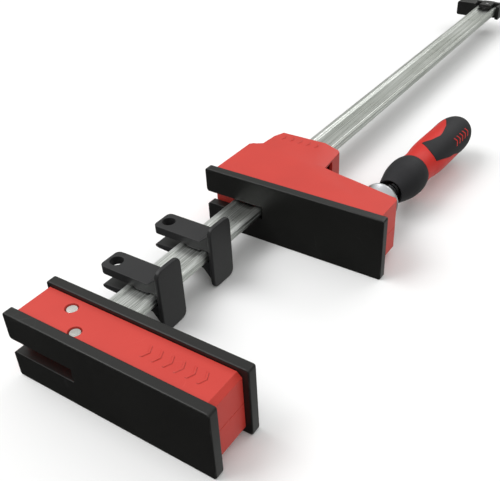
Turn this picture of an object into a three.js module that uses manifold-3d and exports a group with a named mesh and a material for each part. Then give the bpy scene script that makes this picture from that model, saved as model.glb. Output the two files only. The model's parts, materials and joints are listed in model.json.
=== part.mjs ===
// Parallel-jaw bar clamp: a steel rail with a fixed jaw, a sliding jaw driven by a screw handle,
// two rail pads and an end stop. Millimetres, +Z up.
// Working frame: X = 0 on the rail's centreline and +X towards the throat, Y = 0 on the outer
// face of the fixed jaw and +Y along the rail, Z = 0 on the surface that the jaws stand on.

import * as THREE from 'three';
import { mergeVertices } from 'three/addons/utils/BufferGeometryUtils.js';
import Module from 'manifold-3d';

const wasm = await Module();
wasm.setup();

// ---------------------------------------------------------------- driving dimensions
const GAP = 0.3;
const FACETS = 24;

const JAW_HEIGHT = 55;
const MID_Z = JAW_HEIGHT / 2;

const RAIL_WIDTH = 29;
const RAIL_THICKNESS = 9;
const RAIL_START_Y = 9.6;
const RAIL_END_Y = 829;
const RAIL_CORNER = 1.8;
const RAIL_FLANGE = 5.5;
const RAIL_RECESS_DEPTH = 1.8;
const RAIL_RECESS_SLOPE = 2;
const RAIL_EDGE_GROOVE = 0.7;

const PAD_LENGTH = 166;
const PAD_THICKNESS = 8;
const PAD_LEFT_X = -41;
const PAD_RIGHT_X = PAD_LEFT_X + PAD_LENGTH;
const PAD_CORNER = 2.2;
const PAD_EDGE = 0.6;
const PAD_SLOT_HEIGHT = 11.3;
const PAD_SLOT_END_X = 15.4;
const PAD_SLOT_RELIEF = 2;

const SHELL_BOTTOM_Z = 3;
const SHELL_TOP_Z = JAW_HEIGHT - SHELL_BOTTOM_Z;
const SHELL_WALL = 3;
const SHELL_EDGE = 1;
const CHEVRON_HEIGHT = 0.6;

const FIXED_LEFT_X = -38;
const FIXED_RIGHT_X = 120.5;
const FIXED_FRONT_Y = PAD_THICKNESS + GAP;
const FIXED_REAR_Y = 38 - GAP;
const FIXED_JAW_FACE_Y = 38 + PAD_THICKNESS;
const FIXED_END_CHAMFER = 3.5;
const FIXED_RIVETS = [[-7.9, 29.1], [10.5, 13.6]];
const FIXED_SCREWS = [[62, 23], [104, 23]];
const FIXED_CHEVRONS = { x: 60, y: 23, count: 6, pitch: 8.5, size: 5.2 };
const CORE_BOTTOM_Z = 12;
const CORE_TOP_Z = JAW_HEIGHT - CORE_BOTTOM_Z;

const JAW_FACE_Y = 217;
const SLIDER_FRONT_Y = JAW_FACE_Y + PAD_THICKNESS + GAP;
const SLIDER_REAR_Y = 312;
const SLIDER_RIGHT_X = 118.6;
const SLIDER_POST_SPLIT = 0.6;
const SLIDER_CHEVRONS = { x: -16, y: 303, count: 5, pitch: 8.5, size: 3.6 };
const BOSS_WINDOW = { x0: 74, x1: 112.5, y0: 251, y1: 270, halfHeight: 18 };
const HUMP_WINDOW = { x0: 36, x1: 45, y0: 276, y1: 293, bottom: 10, top: 46.8 };
const UNDER_BEVEL = { width: 9, height: 9, rearY: 270 };

// The sloping facet on the hump's throat side: where its fold starts, how far the fold is turned
// from Y and how steeply the facet falls, in degrees.
const FACET_START = [32.5, 274.9];
const FACET_TURN = 14.7;
const FACET_SLOPE = 16.7;

const FRONT_PLATE_Y = SLIDER_FRONT_Y + SHELL_WALL + GAP;
const FRONT_PLATE_THICKNESS = 6;
const FRONT_PLATE = { x0: -22, x1: 112, z0: 10, z1: JAW_HEIGHT - 10 };
const SOCKET_R = 11;
const SOCKET_HEIGHT = 5;
const SOCKET_DEPTH = 3;
const SOCKET_PLAY = 1;
const SLIDER_SCREWS = [[-28, 250], [-19.6, 303.4], [26, 239.4], [109, 240]];

const RIVET_HOLE_R = 4.75;
const RIVET_HEAD_R = 4.35;
const RIVET_HEAD_TOP_Z = SHELL_TOP_Z - 0.8;
const RIVET_CROWN = 0.7;
const RIVET_SHANK_R = 2;
const SCREW_HEAD_R = 3.6;
const SCREW_SHANK_R = 1.9;
const SCREW_POST_R = 4.2;
const FIXED_FOOT_POST_R = 5.8;
const SCREW_HEAD_Z = SHELL_BOTTOM_Z + 0.6;
const SCREW_HEAD_HEIGHT = 2.4;
const SCREW_TIP_Z = SHELL_TOP_Z - SHELL_WALL - 1;
const SCREW_SLOT_DEPTH = 1.2;

const SPINDLE_AXIS_Y = 297;
const SPINDLE_AXIS_X = 92.8;
const SPINDLE_TILT = THREE.MathUtils.degToRad(2.93);
const SPINDLE_R = 7;
const SPINDLE_TIP_Y = 238;
const SPINDLE_NUT_GAP = 1;

const ARM_BOTTOM_Z = 15;
const ARM_TOP_Z = JAW_HEIGHT - ARM_BOTTOM_Z;
const ARM_WAY_GAP = 0.5;
const SHELL_WAY_GAP = 0.6;
const BOSS_FACETS = 48;
const BRAKE_Y = 275;
const BRAKE_SHOE_TOP_Z = MID_Z + RAIL_THICKNESS / 2 + 1.6;
const BRAKE_SEAT = { halfWidth: 8, halfLength: 9, depth: 5 };
const BRAKE_SHOE = { halfWidth: 6, halfLength: 7 };
const BRAKE_LEAF = { halfWidth: 7, halfLength: 5, bow: 3.2, thickness: 0.8 };

const HANDLE_FRONT = 62;
const HANDLE_FACETS = 32;
const COLLAR_END = HANDLE_FRONT + 43;
const CORE_FRONT = COLLAR_END + GAP;
const DOME_START = HANDLE_FRONT + 124;
const DOME_END = HANDLE_FRONT + 152;
const DOME_NECK_R = 12;
const DOME_NECK_END = HANDLE_FRONT + 138;
const SHANK_START = HANDLE_FRONT + 44;
const SHANK_END = HANDLE_FRONT + 110;
const SHANK_R = 5;
const HANDLE_PIN_Y = HANDLE_FRONT + 20;
const HANDLE_PIN_R = 1.7;
const HANDLE_PIN_LENGTH = 27;
const CLIP_Y = 5;
const CLIP_GROOVE_WIDTH = 1.8;
const CLIP_INNER_R = 5.2;
const CLIP_OUTER_R = 7.4;
const CLIP_MOUTH = 1.5;

const RAIL_PAD_Y = [94.5, 155];
const RAIL_PAD_WIDTH = 26;
const RAIL_PAD_ARM_WIDTH = 21;
const RAIL_PAD_FACE_X = 20;
const RAIL_PAD_PLATE = 3.8;
const RAIL_PAD_ARM_TOP_Z = 39.6;
const RAIL_PAD_ARM_LEFT_X = -39.5;
const RAIL_PAD_HOLE_X = -31.5;
const RAIL_PAD_HOLE_R = 5.3;
const RAIL_PAD_CORNER = 7;
const RAIL_PAD_ARM_CORNER = 5;
const RAIL_PAD_ARM_RIGHT_X = 4;
const RAIL_PAD_EDGE = 0.8;
const RAIL_PAD_KEY_DEPTH = 1.4;

const STOP_FRONT_Y = 816;
const STOP_REAR_Y = 835;
const STOP_LEFT_X = -40.5;
const STOP_RIGHT_X = 19.5;
const STOP_LOW_Z = 18;
const STOP_HIGH_Z = 36.5;
const STOP_CAP = { x0: -9, x1: 8, rise: 0.5, corner: 2, lead: 2 };
const STOP_BLOCK_CORNER = 3;
const STOP_BACK_INSET = 6;
const STOP_BRIDGE_Y = STOP_FRONT_Y + 6;
const STOP_BRIDGE_HEIGHT = 3.5;
const STOP_TONGUE = { halfWidth: 6, length: 8 };
const STOP_PIN_Y = 823;
const STOP_PIN_R = 2;

// ---------------------------------------------------------------- derived places
const RAIL_HALF_W = RAIL_WIDTH / 2;
const RAIL_HALF_T = RAIL_THICKNESS / 2;
const RAIL_TOP_Z = MID_Z + RAIL_HALF_T;
const RAIL_BOTTOM_Z = MID_Z - RAIL_HALF_T;
const SPINDLE_TIP_X = SPINDLE_AXIS_X + (SPINDLE_TIP_Y - SPINDLE_AXIS_Y) * Math.tan(SPINDLE_TILT);

// ---------------------------------------------------------------- plans and turned profiles
// Plans are [x, y]. The housing of the sliding jaw, seen from above, and the hollow inside it.
const HUMP_PLAN = [
  [-36.6, SLIDER_FRONT_Y],
  [SLIDER_RIGHT_X, SLIDER_FRONT_Y],
  [SLIDER_RIGHT_X, 254.6],
  [116.4, 257],
  [73, 266],
  [60, 268.4],
  [42.5, 272.8],
  [38.6, 309.8],
  [36.4, SLIDER_REAR_Y],
  [-21, SLIDER_REAR_Y],
  [-25, 302],
  [-26.2, 285],
  [-31, 281.8],
  [-33.6, 281],
  [-36.6, 278],
];
const CAVITY_PLAN = [
  [-33.6, SLIDER_FRONT_Y + SHELL_WALL],
  [SLIDER_RIGHT_X - SHELL_WALL, SLIDER_FRONT_Y + SHELL_WALL],
  [SLIDER_RIGHT_X - SHELL_WALL, 254],
  [72.4, 263],
  [59.3, 265.4],
  [39.6, 270.4],
  [35.9, 307.4],
  [34.4, SLIDER_REAR_Y - SHELL_WALL],
  [-19, SLIDER_REAR_Y - SHELL_WALL],
  [-22, 301.4],
  [-23.3, 283],
  [-29, 279.4],
  [-33.6, 277],
];
// The hump's facet reaches from the arm's rear edge to beyond the hump.
const FACET_REACH = [[10, 275.5], [42.5, 272.8], [60, 272], [60, 330], [10, 330]];
const ARM_PLAN = [
  [-20, 252],
  [33, 250.6],
  [39, 243],
  [75, 243],
  [78, 247],
  [98, 247],
  [98, 257],
  [84, 258],
  [74.4, 256.5],
  [74.4, 250.2],
  [59.5, 252.7],
  [42, 257.2],
  [38.6, 258.4],
  [36, 261],
  [36, 284],
  [30, 288],
  [-20, 288],
];
// Profiles are [radius, distance from the spindle's tip] along the spindle's own axis.
const BOSS_PROFILE = [
  [0, 9],
  [12.5, 9],
  [13.2, 20],
  [12.8, 28],
  [12.5, 34],
  [13.2, 39],
  [14.6, 43],
  [16.1, 46],
  [15.7, 47.8],
  [14.4, 48.8],
  [10.5, 46.6],
  [0, 46.6],
];
const SPINDLE_PROFILE = [
  [0, 0],
  [SPINDLE_R - 2.6, 0],
  [SPINDLE_R - 0.6, 2],
  [SPINDLE_R - 0.6, CLIP_Y],
  [CLIP_INNER_R, CLIP_Y],
  [CLIP_INNER_R, CLIP_Y + CLIP_GROOVE_WIDTH],
  [SPINDLE_R, CLIP_Y + CLIP_GROOVE_WIDTH],
  [SPINDLE_R, SHANK_START - 4],
  [SHANK_R, SHANK_START],
  [SHANK_R, SHANK_END],
  [0, SHANK_END],
];
const CLIP_PROFILE = [
  [CLIP_INNER_R + GAP, CLIP_Y + GAP],
  [CLIP_OUTER_R, CLIP_Y + GAP],
  [CLIP_OUTER_R, CLIP_Y + CLIP_GROOVE_WIDTH - GAP],
  [CLIP_INNER_R + GAP, CLIP_Y + CLIP_GROOVE_WIDTH - GAP],
  [CLIP_INNER_R + GAP, CLIP_Y + GAP],
];
const COLLAR_PROFILE = [
  [SPINDLE_R + GAP, HANDLE_FRONT + 7],
  [9.4, HANDLE_FRONT + 7],
  [9.8, HANDLE_FRONT],
  [11.6, HANDLE_FRONT],
  [13.2, HANDLE_FRONT + 6],
  [15.4, HANDLE_FRONT + 14],
  [17.2, HANDLE_FRONT + 22],
  [18, HANDLE_FRONT + 31],
  [17.6, HANDLE_FRONT + 37],
  [16.2, COLLAR_END],
  [SPINDLE_R + GAP, COLLAR_END],
  [SPINDLE_R + GAP, HANDLE_FRONT + 7],
];
const BODY_PROFILE = [
  [15.9, CORE_FRONT],
  [15.6, HANDLE_FRONT + 50],
  [15.5, HANDLE_FRONT + 58],
  [16.6, HANDLE_FRONT + 66],
  [17.3, HANDLE_FRONT + 76],
  [17.4, HANDLE_FRONT + 96],
  [17.3, HANDLE_FRONT + 114],
  [17.2, DOME_START],
];
const CORE_PROFILE = [
  [0, CORE_FRONT],
  ...BODY_PROFILE,
  [DOME_NECK_R, DOME_START],
  [DOME_NECK_R, DOME_NECK_END],
  [0, DOME_NECK_END],
];
const CORE_BORE_PROFILE = [
  [0, CORE_FRONT - 10],
  [SPINDLE_R + GAP, CORE_FRONT - 10],
  [SPINDLE_R + GAP, SHANK_START + 1],
  [SHANK_R + GAP, SHANK_START + 1],
  [SHANK_R + GAP, SHANK_END + 1],
  [0, SHANK_END + 1],
];
const DOME_PROFILE = [
  [0, DOME_NECK_END + GAP],
  [DOME_NECK_R + GAP, DOME_NECK_END + GAP],
  [DOME_NECK_R + GAP, DOME_START + GAP],
  [17.2, DOME_START + GAP],
  [16.6, HANDLE_FRONT + 132.4],
  [15.5, HANDLE_FRONT + 138],
  [13.6, HANDLE_FRONT + 143.6],
  [11, HANDLE_FRONT + 147.8],
  [7.6, HANDLE_FRONT + 150.6],
  [4, DOME_END - 0.3],
  [0, DOME_END],
];
// The section of a rail pad round the rail, in X and Z, from the arm's root over the underside hook.
const HOOK_LEFT_X = RAIL_PAD_ARM_LEFT_X;
const HOOK_TOP_Z = RAIL_BOTTOM_Z - GAP;
const RAIL_PAD_BACK_X = RAIL_PAD_FACE_X - RAIL_PAD_PLATE;
const RAIL_PAD_SECTION = [
  [HOOK_LEFT_X + 8, RAIL_TOP_Z + GAP],
  [RAIL_HALF_W + GAP, RAIL_TOP_Z + GAP],
  [RAIL_HALF_W + GAP, HOOK_TOP_Z],
  [-15.6, HOOK_TOP_Z],
  [-15.6, HOOK_TOP_Z + 1.2],
  [-17.5, HOOK_TOP_Z + 1.2],
  [HOOK_LEFT_X + 3, HOOK_TOP_Z - 0.4],
  [HOOK_LEFT_X, HOOK_TOP_Z - 1.4],
  [HOOK_LEFT_X, HOOK_TOP_Z - 3.4],
  [HOOK_LEFT_X + 3, HOOK_TOP_Z - 4.4],
  [-12, 17],
  [8, 15],
  [RAIL_PAD_BACK_X + 0.5, 4.5],
  [RAIL_PAD_BACK_X + 0.5, JAW_HEIGHT - 7],
  [6.6, RAIL_PAD_ARM_TOP_Z],
  [HOOK_LEFT_X + 8, RAIL_PAD_ARM_TOP_Z],
];

// ---------------------------------------------------------------- finishes
const FINISH = {
  zinc: { color: 0xc4c8c9, roughness: 0.32, metalness: 1 },
  blackSteel: { color: 0x2c2c2e, roughness: 0.4, metalness: 1 },
  castSteel: { color: 0x8e9196, roughness: 0.5, metalness: 1 },
  redShell: { color: 0xcf3a33, roughness: 0.5, metalness: 0 },
  blackPad: { color: 0x1d1d1b, roughness: 0.75, metalness: 0 },
  darkPlastic: { color: 0x3d3d40, roughness: 0.6, metalness: 0 },
  redHandle: { color: 0xd92b25, roughness: 0.35, metalness: 0 },
  softGrip: { color: 0x2b2c2f, roughness: 0.8, metalness: 0 },
};

// ---------------------------------------------------------------- solid helpers
function toSolid(geometry) {
  const plain = geometry.clone();
  plain.deleteAttribute('normal');
  plain.deleteAttribute('uv');
  const merged = mergeVertices(plain, 1e-4);
  const mesh = new wasm.Mesh({
    numProp: 3,
    vertProperties: new Float32Array(merged.attributes.position.array),
    triVerts: new Uint32Array(merged.index.array),
  });
  mesh.merge();
  return new wasm.Manifold(mesh);
}

function toGeometry(solid) {
  const mesh = solid.getMesh();
  const geometry = new THREE.BufferGeometry();
  geometry.setAttribute('position', new THREE.BufferAttribute(mesh.vertProperties, 3));
  geometry.setIndex(new THREE.BufferAttribute(mesh.triVerts, 1));
  geometry.computeVertexNormals();
  return geometry;
}

function outline(points) {
  return new THREE.Shape(points.map(([u, v]) => new THREE.Vector2(u, v)));
}

// A plan outline in X and Y, raised from z0 to z1.
function plate(shape, z0, z1, curveSegments = 6) {
  const geometry = new THREE.ExtrudeGeometry(shape, { depth: z1 - z0, bevelEnabled: false, curveSegments });
  return toSolid(geometry.translate(0, 0, z0));
}

// A section in X and Z, drawn out from y0 to y1.
function section(shape, y0, y1, curveSegments = 6) {
  const geometry = new THREE.ExtrudeGeometry(shape, { depth: y1 - y0, bevelEnabled: false, curveSegments });
  return toSolid(geometry.rotateX(Math.PI / 2).translate(0, y1, 0));
}

// A plan outline raised from z0 to z1, with its upper and lower edges bevelled.
function bevelledPlate(shape, z0, z1, bevel) {
  const geometry = new THREE.ExtrudeGeometry(shape, {
    depth: z1 - z0 - 2 * bevel,
    bevelEnabled: true,
    bevelThickness: bevel,
    bevelSize: bevel,
    bevelOffset: -bevel,
    bevelSegments: 1,
    curveSegments: 4,
  });
  return toSolid(geometry.translate(0, 0, z0 + bevel));
}

function box(x0, x1, y0, y1, z0, z1) {
  const geometry = new THREE.BoxGeometry(x1 - x0, y1 - y0, z1 - z0);
  return toSolid(geometry.translate((x0 + x1) / 2, (y0 + y1) / 2, (z0 + z1) / 2));
}

function post(x, y, radius, z0, z1, facets = FACETS) {
  const geometry = new THREE.CylinderGeometry(radius, radius, z1 - z0, facets);
  return toSolid(geometry.rotateX(Math.PI / 2).translate(x, y, (z0 + z1) / 2));
}

// A turned solid about the Y axis: profile points are [radius, y].
function turned(profile, facets = FACETS) {
  const points = profile.map(([radius, y]) => new THREE.Vector2(radius, y));
  return toSolid(new THREE.LatheGeometry(points, facets));
}

function joined(solids) {
  return solids.reduce((whole, solid) => whole.add(solid));
}

function cut(solid, tools) {
  return tools.reduce((rest, tool) => rest.subtract(tool), solid);
}

function roundedRect(x0, x1, z0, z1, corner) {
  const shape = new THREE.Shape();
  shape.moveTo(x0 + corner, z0);
  shape.lineTo(x1 - corner, z0);
  shape.quadraticCurveTo(x1, z0, x1, z0 + corner);
  shape.lineTo(x1, z1 - corner);
  shape.quadraticCurveTo(x1, z1, x1 - corner, z1);
  shape.lineTo(x0 + corner, z1);
  shape.quadraticCurveTo(x0, z1, x0, z1 - corner);
  shape.lineTo(x0, z0 + corner);
  shape.quadraticCurveTo(x0, z0, x0 + corner, z0);
  return shape;
}

function part(name, solid, finish) {
  const mesh = new THREE.Mesh(toGeometry(solid), new THREE.MeshStandardMaterial(FINISH[finish]));
  mesh.name = name;
  return mesh;
}

// The clear way that the rail needs through a neighbour.
function railWay(y0, y1, clearance = GAP) {
  const halfWidth = RAIL_HALF_W + clearance;
  const halfThickness = RAIL_HALF_T + clearance;
  return box(-halfWidth, halfWidth, y0, y1, MID_Z - halfThickness, MID_Z + halfThickness);
}

// ---------------------------------------------------------------- rail
function railOutline() {
  const flange = RAIL_HALF_W - RAIL_FLANGE;
  const floor = flange - RAIL_RECESS_SLOPE;
  const quarter = [
    [floor, RAIL_HALF_T - RAIL_RECESS_DEPTH],
    [flange, RAIL_HALF_T],
    [RAIL_HALF_W - RAIL_CORNER, RAIL_HALF_T],
    [RAIL_HALF_W, RAIL_HALF_T - RAIL_CORNER],
    [RAIL_HALF_W, RAIL_EDGE_GROOVE],
    [RAIL_HALF_W - RAIL_EDGE_GROOVE, 0],
  ];
  const lower = quarter.slice(0, -1).reverse().map(([u, v]) => [u, -v]);
  const right = [...quarter, ...lower];
  const left = right.map(([u, v]) => [-u, -v]);
  return outline([...right, ...left].map(([u, v]) => [u, v + MID_Z]));
}

function rail() {
  const bar = section(railOutline(), RAIL_START_Y, RAIL_END_Y);
  const rivetHoles = FIXED_RIVETS.map(([x, y]) => post(x, y, RIVET_SHANK_R + GAP, 0, JAW_HEIGHT));
  const pinHole = post(0, STOP_PIN_Y, STOP_PIN_R + GAP, 0, JAW_HEIGHT);
  return part('rail', cut(bar, [...rivetHoles, pinHole]), 'zinc');
}

// ---------------------------------------------------------------- jaw pads
function jawPad(name, y0) {
  const shape = roundedRect(PAD_LEFT_X, PAD_RIGHT_X, 0, JAW_HEIGHT, PAD_CORNER);
  const board = bevelledPlate(shape, 0, PAD_THICKNESS, PAD_EDGE).rotate([90, 0, 0]);
  const slotTop = MID_Z + PAD_SLOT_HEIGHT / 2;
  const slotBottom = MID_Z - PAD_SLOT_HEIGHT / 2;
  const slot = outline([
    [PAD_LEFT_X - 1, slotBottom - PAD_SLOT_RELIEF - 1],
    [PAD_LEFT_X + PAD_SLOT_RELIEF, slotBottom],
    [PAD_SLOT_END_X, slotBottom],
    [PAD_SLOT_END_X, slotTop],
    [PAD_LEFT_X + PAD_SLOT_RELIEF, slotTop],
    [PAD_LEFT_X - 1, slotTop + PAD_SLOT_RELIEF + 1],
  ]);
  const slotted = board.translate([0, PAD_THICKNESS, 0]).subtract(section(slot, -1, PAD_THICKNESS + 1));
  return part(name, slotted.translate([0, y0, 0]), 'blackPad');
}

// ---------------------------------------------------------------- fixed jaw
// One raised chevron bar of the moulded row on a shell's upper face.
function chevron(x, y, size) {
  const lean = size * 0.45;
  const width = size * 0.32;
  const shape = outline([
    [x, y - size],
    [x + width, y - size],
    [x + width + lean, y],
    [x + width, y + size],
    [x, y + size],
    [x + lean, y],
  ]);
  return plate(shape, SHELL_TOP_Z - GAP, SHELL_TOP_Z + CHEVRON_HEIGHT);
}

function chevronRow({ x, y, count, pitch, size }) {
  return Array.from({ length: count }, (_, i) => chevron(x + i * pitch, y, size));
}

function fixedBody() {
  const chamfer = FIXED_END_CHAMFER;
  const profile = outline([
    [FIXED_LEFT_X + SHELL_EDGE, SHELL_BOTTOM_Z],
    [FIXED_RIGHT_X - chamfer, SHELL_BOTTOM_Z],
    [FIXED_RIGHT_X, SHELL_BOTTOM_Z + chamfer],
    [FIXED_RIGHT_X, SHELL_TOP_Z - chamfer],
    [FIXED_RIGHT_X - chamfer, SHELL_TOP_Z],
    [FIXED_LEFT_X + SHELL_EDGE, SHELL_TOP_Z],
    [FIXED_LEFT_X, SHELL_TOP_Z - SHELL_EDGE],
    [FIXED_LEFT_X, SHELL_BOTTOM_Z + SHELL_EDGE],
  ]);
  const cavity = box(
    FIXED_LEFT_X + SHELL_WALL,
    FIXED_RIGHT_X - SHELL_WALL,
    FIXED_FRONT_Y + SHELL_WALL,
    FIXED_REAR_Y - SHELL_WALL,
    SHELL_BOTTOM_Z + SHELL_WALL,
    SHELL_TOP_Z - SHELL_WALL,
  );
  const railExit = railWay(RAIL_START_Y - GAP, FIXED_REAR_Y + 1);
  return cut(section(profile, FIXED_FRONT_Y, FIXED_REAR_Y), [cavity, railExit]);
}

// Screw posts hang from a shell's roof to the core.
function roofPosts(places, roofZ, footZ) {
  return places.map(([x, y]) => post(x, y, SCREW_POST_R, footZ, roofZ + 1));
}

function screwBores(places, z0, z1) {
  return places.map(([x, y]) => post(x, y, SCREW_SHANK_R + GAP, z0, z1));
}

function upperHalf(solid) {
  return solid.subtract(box(-200, 200, -10, 500, -10, MID_Z + GAP / 2));
}

function lowerHalf(solid) {
  return solid.subtract(box(-200, 200, -10, 500, MID_Z - GAP / 2, JAW_HEIGHT + 10));
}

function fixedShellUpper() {
  const roof = SHELL_TOP_Z - SHELL_WALL;
  const posts = roofPosts(FIXED_SCREWS, roof, CORE_TOP_Z + GAP);
  const rivetHoles = FIXED_RIVETS.map(([x, y]) => post(x, y, RIVET_HOLE_R, CORE_TOP_Z, JAW_HEIGHT));
  const bores = screwBores(FIXED_SCREWS, CORE_TOP_Z - 1, SCREW_TIP_Z + GAP);
  const marks = chevronRow(FIXED_CHEVRONS);
  const body = cut(joined([upperHalf(fixedBody()), ...posts]), [...rivetHoles, ...bores]);
  return part('fixed_shell_upper', joined([body, ...marks]), 'redShell');
}

function fixedShellLower() {
  const floor = SHELL_BOTTOM_Z + SHELL_WALL;
  const posts = FIXED_SCREWS.map(([x, y]) => post(x, y, FIXED_FOOT_POST_R, floor - 1, CORE_BOTTOM_Z - GAP));
  const rivetHoles = FIXED_RIVETS.map(([x, y]) => post(x, y, RIVET_HOLE_R, 0, CORE_BOTTOM_Z));
  const bores = screwBores(FIXED_SCREWS, 0, CORE_BOTTOM_Z + 1);
  const headTop = SCREW_HEAD_Z + SCREW_HEAD_HEIGHT + GAP;
  const headSeats = FIXED_SCREWS.map(([x, y]) => post(x, y, SCREW_HEAD_R + GAP, 0, headTop));
  const body = joined([lowerHalf(fixedBody()), ...posts]);
  return part('fixed_shell_lower', cut(body, [...rivetHoles, ...bores, ...headSeats]), 'redShell');
}

function fixedCore() {
  const inset = SHELL_WALL + GAP;
  const bar = box(
    FIXED_LEFT_X + inset,
    FIXED_RIGHT_X - inset,
    FIXED_FRONT_Y + inset,
    FIXED_REAR_Y - inset,
    CORE_BOTTOM_Z,
    CORE_TOP_Z,
  );
  const rivetHoles = FIXED_RIVETS.map(([x, y]) => post(x, y, RIVET_SHANK_R + GAP, 0, JAW_HEIGHT));
  const bores = screwBores(FIXED_SCREWS, 0, JAW_HEIGHT);
  return part('fixed_core', cut(bar, [railWay(0, FIXED_JAW_FACE_Y), ...rivetHoles, ...bores]), 'castSteel');
}

// A rivet through the core and the rail, with a low-crowned head in each shell's hole.
function rivet(name, x, y) {
  const half = [
    [0, RIVET_HEAD_TOP_Z],
    [RIVET_HEAD_R - RIVET_CROWN, RIVET_HEAD_TOP_Z - 0.1],
    [RIVET_HEAD_R, RIVET_HEAD_TOP_Z - RIVET_CROWN],
    [RIVET_HEAD_R, CORE_TOP_Z + GAP],
    [RIVET_SHANK_R, CORE_TOP_Z + GAP],
  ];
  const profile = [...half, ...half.slice().reverse().map(([radius, z]) => [radius, JAW_HEIGHT - z])];
  const points = profile.reverse().map(([radius, z]) => new THREE.Vector2(radius, z));
  const geometry = new THREE.LatheGeometry(points, FACETS).rotateX(Math.PI / 2);
  return part(name, toSolid(geometry.translate(x, y, 0)), 'zinc');
}

// A pan-head screw driven up from below.
function shellScrew(name, x, y) {
  const head = post(x, y, SCREW_HEAD_R, SCREW_HEAD_Z, SCREW_HEAD_Z + SCREW_HEAD_HEIGHT);
  const shank = post(x, y, SCREW_SHANK_R, SCREW_HEAD_Z + 1, SCREW_TIP_Z, 16);
  const slotLong = SCREW_HEAD_R * 0.7;
  const slotHalf = 0.5;
  const slotTop = SCREW_HEAD_Z + SCREW_SLOT_DEPTH;
  const crossA = box(x - slotLong, x + slotLong, y - slotHalf, y + slotHalf, 0, slotTop);
  const crossB = box(x - slotHalf, x + slotHalf, y - slotLong, y + slotLong, 0, slotTop);
  return part(name, cut(head.add(shank), [crossA, crossB]), 'blackSteel');
}

// ---------------------------------------------------------------- sliding jaw housing
// The solid that overlies the hump's facet.
function facetTool() {
  const slab = box(0, 60, -12, 60, 0, 20).rotate([0, FACET_SLOPE, FACET_TURN]);
  const reach = plate(outline(FACET_REACH), MID_Z, JAW_HEIGHT + 20);
  return slab.translate([...FACET_START, SHELL_TOP_Z]).intersect(reach);
}

// The same solid on the other side of the jaw's mid plane.
function turnedOver(solid) {
  return solid.mirror([0, 0, 1]).translate([0, 0, JAW_HEIGHT]);
}

// The long bevel under the rear edge of the arm.
function armUnderBevel() {
  const shape = outline([
    [SLIDER_RIGHT_X + 5, SHELL_BOTTOM_Z - 3],
    [SLIDER_RIGHT_X + 5, SHELL_BOTTOM_Z + UNDER_BEVEL.height],
    [SLIDER_RIGHT_X - UNDER_BEVEL.width, SHELL_BOTTOM_Z - 3],
  ]);
  return section(shape, SLIDER_FRONT_Y - 1, UNDER_BEVEL.rearY);
}

function sliderBody() {
  const facet = facetTool();
  const innerFacet = facet.translate([0, 0, -SHELL_WALL]);
  const hollow = plate(outline(CAVITY_PLAN), SHELL_BOTTOM_Z + SHELL_WALL, SHELL_TOP_Z - SHELL_WALL);
  const cavity = cut(hollow, [innerFacet, turnedOver(innerFacet)]);
  const { halfHeight } = BOSS_WINDOW;
  const bossWindow = box(
    BOSS_WINDOW.x0,
    BOSS_WINDOW.x1,
    BOSS_WINDOW.y0,
    BOSS_WINDOW.y1,
    MID_Z - halfHeight,
    MID_Z + halfHeight,
  );
  const sideWindow = box(
    HUMP_WINDOW.x0,
    HUMP_WINDOW.x1,
    HUMP_WINDOW.y0,
    HUMP_WINDOW.y1,
    HUMP_WINDOW.bottom,
    HUMP_WINDOW.top,
  );
  const ways = [cavity, railWay(JAW_FACE_Y, SLIDER_REAR_Y + 1, SHELL_WAY_GAP), bossWindow, sideWindow];
  const trims = [facet, turnedOver(facet), armUnderBevel()];
  return cut(plate(outline(HUMP_PLAN), SHELL_BOTTOM_Z, SHELL_TOP_Z), [...ways, ...trims]);
}

function sliderShellUpper() {
  const posts = roofPosts(SLIDER_SCREWS, SHELL_TOP_Z - SHELL_WALL, MID_Z + SLIDER_POST_SPLIT);
  const bores = screwBores(SLIDER_SCREWS, MID_Z - 1, SCREW_TIP_Z + GAP);
  const marks = chevronRow(SLIDER_CHEVRONS);
  const body = cut(joined([upperHalf(sliderBody()), ...posts]), bores);
  return part('slider_shell_upper', joined([body, ...marks]), 'redShell');
}

function sliderShellLower() {
  const floor = SHELL_BOTTOM_Z + SHELL_WALL;
  const posts = SLIDER_SCREWS.map(([x, y]) => post(x, y, SCREW_POST_R, floor - 1, MID_Z - SLIDER_POST_SPLIT));
  const bores = screwBores(SLIDER_SCREWS, 0, MID_Z + 1);
  const headTop = SCREW_HEAD_Z + SCREW_HEAD_HEIGHT + GAP;
  const headSeats = SLIDER_SCREWS.map(([x, y]) => post(x, y, SCREW_HEAD_R + GAP, 0, headTop));
  const body = joined([lowerHalf(sliderBody()), ...posts]);
  return part('slider_shell_lower', cut(body, [...bores, ...headSeats]), 'redShell');
}

// The steel bar behind the sliding jaw's pad, with the socket that the spindle's tip pushes on.
function jawFrontPlate() {
  const rear = FRONT_PLATE_Y + FRONT_PLATE_THICKNESS;
  const bar = box(FRONT_PLATE.x0, FRONT_PLATE.x1, FRONT_PLATE_Y, rear, FRONT_PLATE.z0, FRONT_PLATE.z1);
  const foot = -SOCKET_DEPTH;
  const disc = (radius, end) => turned([[0, foot], [radius, foot], [radius, end], [0, end]]);
  const atSpindle = (solid) => solid.translate([SPINDLE_TIP_X, rear, MID_Z]);
  const ring = atSpindle(disc(SOCKET_R, SOCKET_HEIGHT));
  const pocket = atSpindle(disc(SPINDLE_R + SOCKET_PLAY, SOCKET_HEIGHT + 1));
  const railHole = railWay(JAW_FACE_Y, SLIDER_REAR_Y, SHELL_WAY_GAP);
  return part('jaw_front_plate', cut(joined([bar, ring]), [railHole, pocket]), 'castSteel');
}

// ---------------------------------------------------------------- sliding arm
function spindleFrame(solid) {
  const turn = THREE.MathUtils.radToDeg(SPINDLE_TILT);
  return solid.rotate([0, 0, -turn]).translate([SPINDLE_TIP_X, SPINDLE_TIP_Y, MID_Z]);
}

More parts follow.
